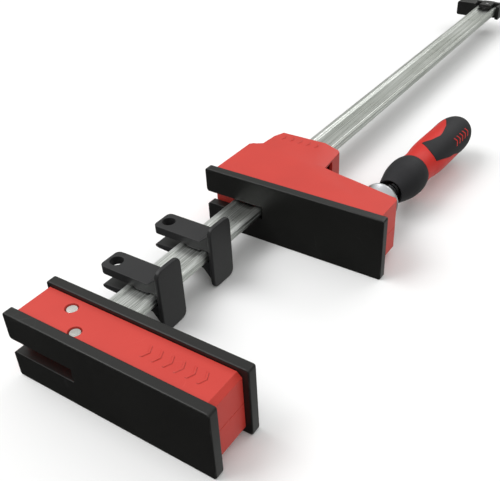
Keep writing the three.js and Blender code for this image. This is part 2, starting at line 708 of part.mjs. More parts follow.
function slidingArm() {
  const bar = plate(outline(ARM_PLAN), ARM_BOTTOM_Z, ARM_TOP_Z);
  const boss = spindleFrame(turned(BOSS_PROFILE, BOSS_FACETS));
  const boreR = SPINDLE_R + SPINDLE_NUT_GAP;
  const bore = spindleFrame(turned([[0, -5], [boreR, -5], [boreR, HANDLE_FRONT], [0, HANDLE_FRONT]]));
  const { halfWidth, halfLength, depth } = BRAKE_SEAT;
  const seatY = [BRAKE_Y - halfLength, BRAKE_Y + halfLength];
  const brakeSeat = box(-halfWidth, halfWidth, ...seatY, RAIL_TOP_Z - 1, RAIL_TOP_Z + depth);
  const armWay = railWay(JAW_FACE_Y, SLIDER_REAR_Y, ARM_WAY_GAP);
  return part('sliding_arm', cut(joined([bar, boss]), [armWay, bore, brakeSeat]), 'castSteel');
}

// The brake that keeps the free jaw where it is put: a plastic shoe under a bent leaf spring.
function brakeShoe() {
  const { halfWidth, halfLength } = BRAKE_SHOE;
  const bottom = RAIL_TOP_Z - RAIL_RECESS_DEPTH + GAP;
  const shoeY = [BRAKE_Y - halfLength, BRAKE_Y + halfLength];
  const shoe = box(-halfWidth, halfWidth, ...shoeY, bottom, BRAKE_SHOE_TOP_Z);
  return part('brake_shoe', shoe, 'darkPlastic');
}

function brakeSpring() {
  const { halfWidth, halfLength, bow, thickness } = BRAKE_LEAF;
  const middle = BRAKE_SHOE_TOP_Z + GAP;
  const ends = middle + bow / 2;
  const leaf = new THREE.Shape();
  leaf.moveTo(-halfWidth, ends);
  leaf.quadraticCurveTo(0, ends - bow, halfWidth, ends);
  leaf.lineTo(halfWidth, ends + thickness);
  leaf.quadraticCurveTo(0, ends + thickness - bow, -halfWidth, ends + thickness);
  return part('brake_spring', section(leaf, BRAKE_Y - halfLength, BRAKE_Y + halfLength, 8), 'castSteel');
}

// ---------------------------------------------------------------- spindle and handle
// A pin-shaped solid across the spindle.
function crossPin(radius, length, facets) {
  const geometry = new THREE.CylinderGeometry(radius, radius, length, facets);
  return toSolid(geometry.rotateZ(Math.PI / 2).translate(0, HANDLE_PIN_Y, 0));
}

function spindleGroup() {
  const group = new THREE.Group();
  group.position.set(SPINDLE_TIP_X, SPINDLE_TIP_Y, MID_Z);
  group.rotation.z = -SPINDLE_TILT;

  const pinHole = crossPin(HANDLE_PIN_R + GAP, 60, 16);
  group.add(part('spindle', turned(SPINDLE_PROFILE).subtract(pinHole), 'blackSteel'));

  const clipMouth = box(-CLIP_MOUTH, CLIP_MOUTH, 0, CLIP_Y + 5, 0, CLIP_OUTER_R + 5);
  group.add(part('spindle_clip', turned(CLIP_PROFILE).subtract(clipMouth), 'blackSteel'));

  const collar = turned(COLLAR_PROFILE, HANDLE_FACETS).subtract(pinHole);
  group.add(part('handle_collar', collar, 'softGrip'));
  group.add(part('handle_pin', crossPin(HANDLE_PIN_R, HANDLE_PIN_LENGTH, 12), 'castSteel'));

  const core = turned(CORE_PROFILE, HANDLE_FACETS).subtract(turned(CORE_BORE_PROFILE));
  group.add(part('handle_core', core, 'redHandle'));
  group.add(part('handle_grip', turned(DOME_PROFILE, HANDLE_FACETS), 'softGrip'));
  return group;
}

// ---------------------------------------------------------------- rail pads
function railPad(name, centreY) {
  const near = centreY - RAIL_PAD_ARM_WIDTH / 2;
  const far = centreY + RAIL_PAD_ARM_WIDTH / 2;
  const wayTop = RAIL_TOP_Z + GAP;

  const halfW = RAIL_PAD_WIDTH / 2;
  const faceShape = roundedRect(centreY - halfW, centreY + halfW, 0, JAW_HEIGHT, RAIL_PAD_CORNER);
  const board = bevelledPlate(faceShape, 0, RAIL_PAD_PLATE, RAIL_PAD_EDGE);
  const face = board.rotate([90, 0, 90]).translate([RAIL_PAD_BACK_X, 0, 0]);

  const root = section(outline(RAIL_PAD_SECTION), near, far);
  const armShape = roundedRect(RAIL_PAD_ARM_LEFT_X, RAIL_PAD_ARM_RIGHT_X, near, far, RAIL_PAD_ARM_CORNER);
  const arm = plate(armShape, wayTop, RAIL_PAD_ARM_TOP_Z);
  const keyHalf = RAIL_HALF_W - RAIL_FLANGE - RAIL_RECESS_SLOPE - GAP;
  const key = box(-keyHalf, keyHalf, near, far, wayTop - RAIL_PAD_KEY_DEPTH, wayTop + 1);
  const hole = post(RAIL_PAD_HOLE_X, centreY, RAIL_PAD_HOLE_R, RAIL_TOP_Z - 2, JAW_HEIGHT);
  return part(name, cut(joined([face, root, arm, key]), [hole]), 'darkPlastic');
}

// ---------------------------------------------------------------- end stop
function endStop() {
  const { halfWidth, length } = STOP_TONGUE;
  const wayHalf = RAIL_HALF_W + GAP;
  const blockShape = roundedRect(STOP_LEFT_X, -wayHalf, STOP_LOW_Z, STOP_HIGH_Z, STOP_BLOCK_CORNER);
  const capTop = STOP_HIGH_Z + STOP_CAP.rise;
  const capShape = roundedRect(STOP_CAP.x0, STOP_CAP.x1, RAIL_TOP_Z, capTop, STOP_CAP.corner);
  const tongueShape = outline([
    [-halfWidth, STOP_FRONT_Y],
    [0, STOP_FRONT_Y - length],
    [halfWidth, STOP_FRONT_Y],
  ]);
  const solids = [
    section(blockShape, STOP_FRONT_Y, STOP_REAR_Y),
    section(capShape, STOP_FRONT_Y - STOP_CAP.lead, STOP_REAR_Y),
    plate(tongueShape, RAIL_TOP_Z - RAIL_RECESS_DEPTH + GAP, RAIL_TOP_Z + STOP_CAP.corner),
    box(wayHalf, STOP_RIGHT_X, STOP_FRONT_Y, STOP_REAR_Y, STOP_LOW_Z, STOP_HIGH_Z - 1),
    box(STOP_CAP.x0, STOP_CAP.x1, STOP_FRONT_Y, STOP_REAR_Y, STOP_LOW_Z, RAIL_BOTTOM_Z),
    box(STOP_LEFT_X + STOP_BACK_INSET, STOP_RIGHT_X, RAIL_END_Y + GAP, STOP_REAR_Y, STOP_LOW_Z, STOP_HIGH_Z),
    box(-wayHalf - 1, STOP_RIGHT_X, STOP_BRIDGE_Y, STOP_REAR_Y, STOP_LOW_Z, STOP_LOW_Z + STOP_BRIDGE_HEIGHT),
  ];
  const pinHole = post(0, STOP_PIN_Y, STOP_PIN_R + GAP, 0, JAW_HEIGHT);
  const way = box(
    -wayHalf,
    wayHalf,
    STOP_FRONT_Y - 1,
    RAIL_END_Y + GAP,
    RAIL_BOTTOM_Z - GAP,
    RAIL_TOP_Z + GAP,
  );
  return part('end_stop', cut(joined(solids), [way, pinHole]), 'blackPad');
}

function endStopPin() {
  const pin = post(0, STOP_PIN_Y, STOP_PIN_R, STOP_LOW_Z + 0.5, STOP_HIGH_Z + 0.1, 16);
  return part('end_stop_pin', pin, 'castSteel');
}

// ---------------------------------------------------------------- assembly
const clamp = new THREE.Group();
clamp.add(rail());
clamp.add(jawPad('outer_pad', 0));
clamp.add(jawPad('fixed_jaw_pad', FIXED_JAW_FACE_Y - PAD_THICKNESS));
clamp.add(fixedShellUpper(), fixedShellLower(), fixedCore());
FIXED_RIVETS.forEach(([x, y], i) => clamp.add(rivet(`fixed_rivet_${i + 1}`, x, y)));
FIXED_SCREWS.forEach(([x, y], i) => clamp.add(shellScrew(`fixed_shell_screw_${i + 1}`, x, y)));
clamp.add(endStop(), endStopPin());

clamp.add(jawPad('slider_pad', JAW_FACE_Y));
clamp.add(sliderShellUpper(), sliderShellLower(), jawFrontPlate());
SLIDER_SCREWS.forEach(([x, y], i) => clamp.add(shellScrew(`slider_screw_${i + 1}`, x, y)));
clamp.add(slidingArm(), brakeShoe(), brakeSpring());
clamp.add(spindleGroup());

clamp.add(railPad('rail_pad_near', RAIL_PAD_Y[0]));
clamp.add(railPad('rail_pad_far', RAIL_PAD_Y[1]));

// The part's origin is the middle of its box, on the surface it stands on.
clamp.position.set(-(PAD_LEFT_X + PAD_RIGHT_X) / 2, -STOP_REAR_Y / 2, 0);

const object = new THREE.Group();
object.add(clamp);

export default object;
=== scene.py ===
"""Looks of the parallel-jaw bar clamp: finishes, handle, the screw's thread, floor and light."""

import json
import math

import bmesh
import bpy
from mathutils import Matrix, Vector


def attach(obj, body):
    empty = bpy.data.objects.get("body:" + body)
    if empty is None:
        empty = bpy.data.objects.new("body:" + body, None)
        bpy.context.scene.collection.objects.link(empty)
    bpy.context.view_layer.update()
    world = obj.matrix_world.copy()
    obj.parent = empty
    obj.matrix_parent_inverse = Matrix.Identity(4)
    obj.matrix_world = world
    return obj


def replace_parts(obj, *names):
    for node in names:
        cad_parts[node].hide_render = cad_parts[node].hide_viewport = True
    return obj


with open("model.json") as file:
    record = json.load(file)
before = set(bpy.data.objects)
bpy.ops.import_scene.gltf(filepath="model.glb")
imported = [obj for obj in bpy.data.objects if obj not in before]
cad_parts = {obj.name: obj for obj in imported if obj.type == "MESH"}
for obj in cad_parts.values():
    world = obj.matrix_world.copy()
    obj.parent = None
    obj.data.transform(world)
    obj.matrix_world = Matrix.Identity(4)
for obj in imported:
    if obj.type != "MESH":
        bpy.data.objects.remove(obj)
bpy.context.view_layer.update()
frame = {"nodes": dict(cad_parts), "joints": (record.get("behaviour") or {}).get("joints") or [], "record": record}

MM = 0.001

# ---------------------------------------------------------------- sizes of the screw and handle, in mm
# On the screw, points are (radius, distance from its tip inside the jaw).
LEAD = 4.0
HANDLE_START = 62.0
THREAD_RADIUS = 7.0
THREAD_ROOT_RADIUS = 5.75
THREAD_START = 12.0
THREAD_END = HANDLE_START + 8.0
# The thread's profile, as shares of the lead: half of its foot, and one flank.
THREAD_HALF_FOOT = 0.34
THREAD_FLANK = 0.18
THREAD_STEPS_PER_TURN = 14
THREAD_SEGMENTS = 72
# The tip with its chamfer and the groove for the ring.
SCREW_TIP_OUTLINE = [(0, 0), (4.4, 0), (6.4, 2), (6.4, 5), (5.2, 5), (5.2, 6.8), (6.4, 6.8), (6.4, 11),
                     (THREAD_ROOT_RADIUS, THREAD_START)]
# The plain shank inside the handle.
SCREW_SHANK_OUTLINE = [(5, THREAD_END + 1), (5, HANDLE_START + 110), (0, HANDLE_START + 110)]

# On the handle, points are (radius, distance behind its front face).
TURNED_SEGMENTS = 96
COLLAR_OUTLINE = [(11.7, 0.2), (13.3, 6), (15.5, 14), (17.3, 22), (18, 31), (17.6, 37), (16.3, 42.6)]
COLLAR_BORE = [(7.4, 42.6), (7.4, 7.5)]
COLLAR_RECESS = [(7.6, 7.5), (9.6, 7.2), (10.3, 1.0), (11.1, 0.1)]
COLLAR_BACK = [(15.9, 43), COLLAR_BORE[0]]
BODY_OUTLINE = [(15.9, 43.4), (15.5, 51), (15.6, 58), (16.6, 66), (17.3, 76), (17.4, 96), (17.2, 124)]
BODY_FRONT = [(0, 43.3), (15.4, 43.3)]
# The grip's rounded end, which takes over from the tongues at the seam.
DOME_START = 124.0
DOME_RADIUS = 17.2
DOME_LENGTH = 28.0
DOME_FULLNESS = 0.35
DOME_ROWS = 26
SEAM = 134.0
# Where the handle body follows the dome, and the stub that it ends in inside the grip.
BODY_DOME_STEPS = (126, 128, 130, 132, SEAM)
BODY_STUB = [(12, SEAM + 0.2), (12, 138), (0, 138)]

# The edges of a grip tongue: distance behind the handle's front face, and angle round it in degrees.
TONGUE_LOWER_EDGE = [(60.9, 24.5), (71.4, 15.5), (85.3, 3), (94.8, -2), (104, -14), (115, -28), (SEAM, -50)]
TONGUE_UPPER_EDGE = [(68.4, 106), (76.4, 87.5), (89.3, 77.5), (95.8, 79), (112, 91), (124, 109), (SEAM, 130)]
TONGUE_FRONT_BULGE = 3.2
TONGUE_ROWS = 56
TONGUE_COLUMNS = 32
GRIP_PROUD = 0.35
GRIP_DEPTH = 1.3
GRIP_EDGE_RADIUS = 0.3

# The chevrons let into the grip; the two angles are in degrees.
CHEVRON_START = 100.0
CHEVRON_PITCH = 6.2
CHEVRON_COUNT = 5
CHEVRON_CENTRE_ANGLE = 29.0
CHEVRON_HALF_ANGLE = 13.0
CHEVRON_LEAN = 3.2
CHEVRON_STROKE = 1.7
CHEVRON_PROUD = GRIP_PROUD + 0.12
CHEVRON_DEPTH = 0.6
CHEVRON_STEPS = 8

# Where round the handle each tongue with its chevrons stands, in degrees.
HALF_TURNS = (0, 180)


# ---------------------------------------------------------------- camera and light
def aim(thing, place, target, roll=0.0):
    """Stands a camera or lamp at place, facing target, turned by roll about its own line of sight."""
    facing = (Vector(target) - Vector(place)).to_track_quat("-Z", "Y").to_matrix().to_4x4()
    thing.matrix_world = Matrix.Translation(place) @ facing @ Matrix.Rotation(roll, 4, "Z")


def set_camera():
    camera = bpy.data.objects.new("camera", bpy.data.cameras.new("camera"))
    bpy.context.scene.collection.objects.link(camera)
    camera.data.lens = 51.23
    camera.data.sensor_width = 36
    camera.data.shift_x = -0.0304
    camera.data.shift_y = 0.0072
    camera.data.clip_start = 0.01
    camera.data.clip_end = 40
    place = (0.2569, -0.6114, 0.3470)
    target = (-0.0219, -0.2039, 0)
    aim(camera, place, target, roll=math.radians(-2.46))
    bpy.context.scene.camera = camera


def soft_box(name, place, target, size, watts):
    lamp = bpy.data.lights.new(name, "AREA")
    lamp.shape = "RECTANGLE"
    lamp.size, lamp.size_y = size
    lamp.energy = watts
    holder = bpy.data.objects.new(name, lamp)
    bpy.context.scene.collection.objects.link(holder)
    aim(holder, place, target)


def set_light():
    jaws = (0, -0.2, 0)
    rail_middle = (0, 0.1, 0)
    soft_box("key_light", place=(-0.9, -0.7, 1.6), target=jaws, size=(1.4, 1.0), watts=20)
    soft_box("fill_light", place=(1.3, -1.2, 0.9), target=jaws, size=(1.2, 0.8), watts=3)
    soft_box("rear_light", place=(0.3, 1.6, 1.3), target=rail_middle, size=(1.6, 0.7), watts=10)


def set_world():
    """A pale studio, brightest overhead and dim towards the horizon, with a pale wall low at the rear."""
    horizon = (0.05, 0.05, 0.05, 1)
    low_wall = (0.2, 0.205, 0.19, 1)
    high_wall = (0.62, 0.64, 0.58, 1)
    overhead = (1, 1, 1, 1)
    rear_wall = (0.75, 0.76, 0.74)
    world = bpy.data.worlds.new("studio")
    bpy.context.scene.world = world
    world.use_nodes = True
    tree = world.node_tree
    tree.nodes.clear()
    around = add(tree, "SeparateXYZ", {0: add(tree, "TexCoord").outputs["Generated"]}).outputs
    ramp = add(tree, "ValToRGB", {"Fac": around["Z"]})
    steps = ramp.color_ramp.elements
    steps[0].position = 0.0
    steps[0].color = horizon
    steps[1].position = 0.8
    steps[1].color = overhead
    for position, shade in ((0.1, low_wall), (0.33, high_wall), (0.6, overhead)):
        steps.new(position).color = shade
    below = rise(tree, around["Z"], 0.04, -0.08)
    behind = rise(tree, around["Y"], 0.1, 0.5)
    low_rear = calc(tree, "MULTIPLY", below, behind)
    shades = blend_colour(tree, low_rear, ramp.outputs["Color"], rear_wall)
    sky = add(tree, "Background", {"Color": shades, "Strength": 0.75})
    add(tree, "OutputWorld", {"Surface": sky.outputs[0]})


# ---------------------------------------------------------------- node helpers
def add(tree, kind, values=None, **settings):
    """Adds a shader node; settings are its properties, values its inputs, as numbers or sockets."""
    made = tree.nodes.new("ShaderNode" + kind)
    for key, value in settings.items():
        setattr(made, key, value)
    for key, value in (values or {}).items():
        if isinstance(value, bpy.types.NodeSocket):
            tree.links.new(value, made.inputs[key])
        else:
            made.inputs[key].default_value = value
    return made


def calc(tree, operation, first, second=0.0, clamp=False):
    return add(tree, "Math", {0: first, 1: second}, operation=operation, use_clamp=clamp).outputs[0]


def spread(tree, value, limits):
    """Maps 0 to 1 onto the two limits."""
    low, high = limits
    return add(tree, "MapRange", {"Value": value, "To Min": low, "To Max": high}).outputs["Result"]


def rise(tree, value, start, end):
    """Rises from 0 where the value is start to 1 where it is end."""
    return add(tree, "MapRange", {"Value": value, "From Min": start, "From Max": end}).outputs["Result"]


def noise(tree, place, scale, detail, **values):
    """Noise as a grey value; further inputs are given by name."""
    inputs = {"Vector": place, "Scale": scale, "Detail": detail, **values}
    return add(tree, "TexNoise", inputs).outputs["Fac"]


def vector(tree, operation, first, second):
    return add(tree, "VectorMath", {0: first, 1: second}, operation=operation).outputs


def effect(name, inputs, outputs):
    """A node group with named inputs, given as {name: default}, and named outputs."""
    tree = bpy.data.node_groups.new(name, "ShaderNodeTree")
    for label, default in inputs.items():
        kind = "NodeSocketVector" if isinstance(default, tuple) else "NodeSocketFloat"
        tree.interface.new_socket(label, in_out="INPUT", socket_type=kind).default_value = default
    for label in outputs:
        tree.interface.new_socket(label, in_out="OUTPUT", socket_type="NodeSocketFloat")
    return tree, tree.nodes.new("NodeGroupInput").outputs, tree.nodes.new("NodeGroupOutput").inputs


def use(tree, group, **values):
    """Places an effect group in a material; underscores in the input names stand for spaces."""
    made = tree.nodes.new("ShaderNodeGroup")
    made.node_tree = group
    for key, value in values.items():
        made.inputs[key.replace("_", " ")].default_value = value
    return made.outputs


# ---------------------------------------------------------------- effects shared by the finishes
def make_moulded_grain():
    """Fine spark-eroded mould texture: Height for bump, Patch for slow changes of gloss."""
    tree, inputs, outputs = effect("Moulded grain", {"Grains per metre": 2200.0, "Patch size": 30.0},
                                   ["Height", "Patch"])
    pit_share = 0.6
    place = add(tree, "TexCoord").outputs["Object"]
    fine = noise(tree, place, inputs["Grains per metre"], 3.0, Roughness=0.65)
    cells = add(tree, "TexVoronoi", {"Vector": place, "Scale": inputs["Grains per metre"]})
    pits = calc(tree, "MULTIPLY", cells.outputs["Distance"], pit_share)
    height = calc(tree, "ADD", fine, pits)
    tree.links.new(height, outputs["Height"])
    tree.links.new(noise(tree, place, inputs["Patch size"], 4.0), outputs["Patch"])
    return tree


def make_edge_wear_and_glint():
    """Mask of the outer edges, broken up by noise, where handling rubs the surface; on the blackened screw the
    same mask paints glints on the thread crests, a painted highlight.
    """
    tree, inputs, outputs = effect("Edge wear and glint", {"Width": 0.001, "Amount": 1.0, "Break up": 0.5},
                                   ["Mask"])
    flat = 0.995
    rounded_away = 0.86
    place = add(tree, "TexCoord").outputs["Object"]
    rounded = add(tree, "Bevel", {"Radius": inputs["Width"]}, samples=4).outputs["Normal"]
    true_normal = add(tree, "NewGeometry").outputs["True Normal"]
    facing = vector(tree, "DOT_PRODUCT", rounded, true_normal)["Value"]
    edge = rise(tree, facing, flat, rounded_away)
    broken = rise(tree, noise(tree, place, 160.0, 5.0), inputs["Break up"], 0.75)
    worn = calc(tree, "MULTIPLY", edge, broken)
    tree.links.new(calc(tree, "MULTIPLY", worn, inputs["Amount"], clamp=True), outputs["Mask"])
    return tree


def make_drawn_lines():
    """Fine lines left by drawing or grinding: noise stretched by the Stretch vector."""
    tree, inputs, outputs = effect("Drawn lines", {"Stretch": (900.0, 6.0, 900.0)}, ["Lines", "Cloud"])
    place = add(tree, "TexCoord").outputs["Object"]
    stretched = vector(tree, "MULTIPLY", place, inputs["Stretch"])["Vector"]
    tree.links.new(noise(tree, stretched, 1.0, 4.0, Roughness=0.7), outputs["Lines"])
    tree.links.new(noise(tree, place, 22.0, 5.0, Distortion=0.6), outputs["Cloud"])
    return tree


def make_scuffs():
    """Sparse fine scratches in all directions, as Mask."""
    tree, inputs, outputs = effect("Scuffs", {"Scale": 60.0, "Amount": 1.0}, ["Mask"])
    scratch_width = 0.012
    bend = 0.12
    place = add(tree, "TexCoord").outputs["Object"]
    swirl = add(tree, "TexNoise", {"Vector": place, "Scale": 9.0, "Detail": 2.0}).outputs["Color"]
    pushed = add(tree, "VectorMath", {0: swirl, "Scale": bend}, operation="SCALE").outputs["Vector"]
    bent = vector(tree, "ADD", place, pushed)["Vector"]
    cells = add(tree, "TexVoronoi", {"Vector": bent, "Scale": inputs["Scale"]}, feature="DISTANCE_TO_EDGE")
    thin = rise(tree, cells.outputs["Distance"], scratch_width, 0.0)
    where = rise(tree, noise(tree, place, 35.0, 3.0), 0.56, 0.7)
    scratches = calc(tree, "MULTIPLY", thin, where)
    tree.links.new(calc(tree, "MULTIPLY", scratches, inputs["Amount"], clamp=True), outputs["Mask"])
    return tree


GRAIN = make_moulded_grain()
EDGE_WEAR_AND_GLINT = make_edge_wear_and_glint()
LINES = make_drawn_lines()
SCUFFS = make_scuffs()


# ---------------------------------------------------------------- finishes
def new_finish(name):
    material = bpy.data.materials.new(name)
    material.use_nodes = True
    tree = material.node_tree
    return material, tree, tree.nodes["Principled BSDF"]


def blend_colour(tree, amount, first, second):
    mix = add(tree, "Mix", {"Factor": amount}, data_type="RGBA")
    for socket, value in ((mix.inputs[6], first), (mix.inputs[7], second)):
        if isinstance(value, bpy.types.NodeSocket):
            tree.links.new(value, socket)
        else:
            socket.default_value = (*value, 1)
    return mix.outputs[2]


def average(tree, first, second):
    return calc(tree, "MULTIPLY", calc(tree, "ADD", first, second), 0.5)


def bump(tree, shader, height, strength, depth):
    made = add(tree, "Bump", {"Height": height, "Strength": strength, "Distance": depth})
    tree.links.new(made.outputs["Normal"], shader.inputs["Normal"])


def plastic(name, dark, light, worn, rough, shine=0.5, grains=2200.0, grain_depth=0.00006):
    """Moulded plastic: fine grain, slow changes of tint and gloss, rubbed edges and light scuffs."""
    rub_dulling = 0.12
    grain_strength = 0.35
    material, tree, shader = new_finish(name)
    grain = use(tree, GRAIN, Grains_per_metre=grains)
    edges = use(tree, EDGE_WEAR_AND_GLINT, Amount=0.7)["Mask"]
    marks = use(tree, SCUFFS, Amount=0.5)["Mask"]
    rubbed = calc(tree, "MAXIMUM", edges, marks)
    tint = blend_colour(tree, grain["Patch"], dark, light)
    tree.links.new(blend_colour(tree, rubbed, tint, worn), shader.inputs["Base Color"])
    gloss = spread(tree, grain["Patch"], rough)
    dulled = calc(tree, "ADD", gloss, calc(tree, "MULTIPLY", rubbed, rub_dulling))
    tree.links.new(dulled, shader.inputs["Roughness"])
    shader.inputs["Specular IOR Level"].default_value = shine
    bump(tree, shader, grain["Height"], grain_strength, grain_depth)
    return material


def steel(name, dark, light, rough, stretch=(900.0, 6.0, 900.0), line_depth=0.00004, wear=0.5,
          bright=(0.8, 0.8, 0.8)):
    """Bare or plated steel: fine lines, cloudy plating and brighter edges; these are worn edges, and on the
    blackened screw they are also painted glints on the thread crests.
    """
    line_strength = 0.4
    material, tree, shader = new_finish(name)
    lines = use(tree, LINES, Stretch=stretch)
    # Edges blended towards the bright colour: worn metal, and on the blackened screw painted glints on the thread
    # crests.
    edges = use(tree, EDGE_WEAR_AND_GLINT, Amount=wear, Width=0.0006)["Mask"]
    tint = blend_colour(tree, lines["Cloud"], dark, light)
    tree.links.new(blend_colour(tree, edges, tint, bright), shader.inputs["Base Color"])
    gloss = spread(tree, average(tree, lines["Lines"], lines["Cloud"]), rough)
    tree.links.new(gloss, shader.inputs["Roughness"])
    shader.inputs["Metallic"].default_value = 1.0
    bump(tree, shader, lines["Lines"], line_strength, line_depth)
    return material


def rail_zinc():
    """Zinc-plated rail: drawn lines and cloudy plating, with the fine cross ribs of its rolled edges."""
    dull_plating = (0.6, 0.63, 0.59)
    bright_plating = (0.92, 0.93, 0.92)
    drawn_line = (0.42, 0.44, 0.41)
    worn_edge = (0.86, 0.87, 0.86)
    rib_dulling = 0.1
    line_height = 0.4
    relief_strength = 0.5
    relief_depth = 0.00012
    material, tree, shader = new_finish("rail_zinc")
    lines = use(tree, LINES, Stretch=(1100.0, 5.0, 1100.0))
    edges = use(tree, EDGE_WEAR_AND_GLINT, Amount=0.6, Width=0.0006)["Mask"]
    place = add(tree, "TexCoord").outputs["Object"]
    ribs = add(tree, "TexWave", {"Vector": place, "Scale": 220.0, "Distortion": 1.5, "Detail": 2.0},
               bands_direction="Y").outputs["Fac"]
    sideways = add(tree, "SeparateXYZ", {0: add(tree, "NewGeometry").outputs["True Normal"]}).outputs["X"]
    ribbed = calc(tree, "MULTIPLY", ribs, rise(tree, calc(tree, "ABSOLUTE", sideways), 0.3, 0.6))
    plating = blend_colour(tree, lines["Cloud"], dull_plating, bright_plating)
    tint = blend_colour(tree, rise(tree, lines["Lines"], 0.4, 0.62), drawn_line, plating)
    tree.links.new(blend_colour(tree, edges, tint, worn_edge), shader.inputs["Base Color"])
    gloss = spread(tree, average(tree, lines["Lines"], lines["Cloud"]), (0.14, 0.46))
    dulled = calc(tree, "ADD", gloss, calc(tree, "MULTIPLY", ribbed, rib_dulling))
    tree.links.new(dulled, shader.inputs["Roughness"])
    shader.inputs["Metallic"].default_value = 1.0
    height = calc(tree, "ADD", calc(tree, "MULTIPLY", lines["Lines"], line_height), ribbed)
    bump(tree, shader, height, relief_strength, relief_depth)
    return material


FINISHES = {
    "zinc_rail": rail_zinc(),
    "zinc_fixing": steel("bright_zinc", dark=(0.34, 0.34, 0.31), light=(0.84, 0.84, 0.8),
                         rough=(0.22, 0.45), stretch=(420.0, 420.0, 420.0), line_depth=0.0003),
    "cast_steel": steel("plated_steel", dark=(0.5, 0.51, 0.53), light=(0.8, 0.81, 0.83),
                        rough=(0.22, 0.42), stretch=(260.0, 700.0, 260.0)),
    # The blackened screw's edges are brightened in full to paint glints on its thread crests: a painted highlight
    # as well as worn metal.
    "black_steel": steel("blackened_steel", dark=(0.018, 0.018, 0.02), light=(0.06, 0.06, 0.062),
                         rough=(0.28, 0.5), wear=1.0, bright=(0.5, 0.5, 0.5)),
    "red_shell": plastic("red_shell_plastic", dark=(0.5, 0.028, 0.018), light=(0.6, 0.042, 0.028),
                         worn=(0.66, 0.09, 0.07), rough=(0.42, 0.58)),
    "black_pad": plastic("black_pad_plastic", dark=(0.0075, 0.0075, 0.007), light=(0.0125, 0.0125, 0.0115),
                         worn=(0.05, 0.05, 0.048), rough=(0.34, 0.5), shine=0.35, grains=1500.0),
    "dark_plastic": plastic("dark_clip_plastic", dark=(0.016, 0.016, 0.017), light=(0.028, 0.028, 0.029),
                            worn=(0.06, 0.06, 0.062), rough=(0.38, 0.55), shine=0.3, grains=1800.0),
    "red_handle": plastic("red_handle_plastic", dark=(0.5, 0.014, 0.01), light=(0.6, 0.022, 0.015),
                          worn=(0.68, 0.07, 0.05), rough=(0.42, 0.56), shine=0.25, grains=900.0,
                          grain_depth=0.00003),
    "soft_grip": plastic("soft_grip_rubber", dark=(0.009, 0.009, 0.011), light=(0.016, 0.016, 0.018),
                         worn=(0.04, 0.04, 0.042), rough=(0.55, 0.72), shine=0.3, grains=3000.0,
                         grain_depth=0.00008),
}


def coat_piece(piece, slot):
    piece.data.materials.clear()
    piece.data.materials.append(FINISHES[slot])


# ---------------------------------------------------------------- CAD pieces that stay
def round_edges(piece, radius, sharp_angle):
    """Rounds the edges that turn by more than the sharp angle; the radius is in mm."""
    rounding = piece.modifiers.new("rounded_edges", "BEVEL")
    rounding.width = radius * MM
    rounding.segments = 3
    rounding.limit_method = "ANGLE"
    rounding.angle_limit = math.radians(sharp_angle)
    return rounding


def soften(piece, radius):
    """Rounds a faceted piece's real edges and leaves its flats flat."""
    weld = piece.modifiers.new("join_facets", "WELD")
    weld.merge_threshold = 0.002 * MM
    flats = piece.modifiers.new("one_face_per_flat", "DECIMATE")
    flats.decimate_type = "DISSOLVE"
    flats.angle_limit = math.radians(0.4)
    rounding = round_edges(piece, radius, sharp_angle=25)
    rounding.use_clamp_overlap = False
    rounding.harden_normals = True


EDGE_RADIUS = {
    "outer_pad": 0.5, "fixed_jaw_pad": 0.5, "slider_pad": 0.5,
    "fixed_shell_upper": 0.35, "fixed_shell_lower": 0.35,
    "slider_shell_upper": 0.35, "slider_shell_lower": 0.35,
    "rail_pad_near": 0.5, "rail_pad_far": 0.5, "end_stop": 0.4, "rail": 0.25, "sliding_arm": 0.3,
}


def finish_cad_nodes():
    slots = {row["node"]: row["material_slot"] for row in frame["record"]["subparts"]}
    for name, node in frame["nodes"].items():
        coat_piece(node, slots[name])
        custom = node.data.attributes.get("custom_normal")
        if custom:
            node.data.attributes.remove(custom)
        node.data.polygons.foreach_set("use_smooth", [True] * len(node.data.polygons))
        if name in EDGE_RADIUS:
            soften(node, EDGE_RADIUS[name])
        else:
            node.data.set_sharp_from_angle(angle=math.radians(28))


# ---------------------------------------------------------------- curves for turned pieces
def through(points, steps):
    """A smooth curve through the points, with steps between each pair."""
    padded = [points[0], *points, points[-1]]
    curve = []
    for before, start, end, after in zip(padded, padded[1:], padded[2:], padded[3:]):
        for i in range(steps):
            t = i / steps
            point = []
            for a, b, c, d in zip(before, start, end, after):
                square = 2 * a - 5 * b + 4 * c - d
                cube = 3 * b - a - 3 * c + d
                point.append(0.5 * (2 * b + (c - a) * t + square * t ** 2 + cube * t ** 3))
            curve.append(tuple(point))
    return [*curve, points[-1]]


def along(points, share):
    """The point that lies the given share of the way along straight lines through the points."""
    lengths = [math.dist(a, b) for a, b in zip(points, points[1:])]
    left = share * sum(lengths)
    for length, start, end in zip(lengths, points, points[1:]):
        if left <= length:
            return tuple(a + (b - a) * left / length for a, b in zip(start, end))
        left -= length
    return points[-1]


TURN = next(joint for joint in frame["joints"] if joint["name"] == "handle_turn")
SCREW_TIP = Vector(TURN["pos_m"])
SCREW_LINE = -Vector(TURN["axis"]).normalized()
SCREW_SIDE = SCREW_LINE.cross(Vector((0, 0, 1))).normalized()
BODY_CURVE = through(BODY_OUTLINE, 10)


def screw_place(radius, distance, angle):
    """A point round the screw: mm from its axis and from its tip, and degrees from the throat side up."""
    turn = math.radians(angle)
    outward = math.cos(turn) * SCREW_SIDE + math.sin(turn) * Vector((0, 0, 1))
    return SCREW_TIP + MM * (distance * SCREW_LINE + radius * outward)


def body_radius(distance):
    """The handle's radius at a distance behind its front face."""
    if distance >= DOME_START:
        share = (distance - DOME_START) / DOME_LENGTH
        return DOME_RADIUS * max(0.0, 1 - share ** 2) ** DOME_FULLNESS
    for (r0, s0), (r1, s1) in zip(BODY_CURVE, BODY_CURVE[1:]):
        if s0 <= distance <= s1:
            return r0 + (r1 - r0) * (distance - s0) / (s1 - s0)
    return BODY_OUTLINE[0][0]


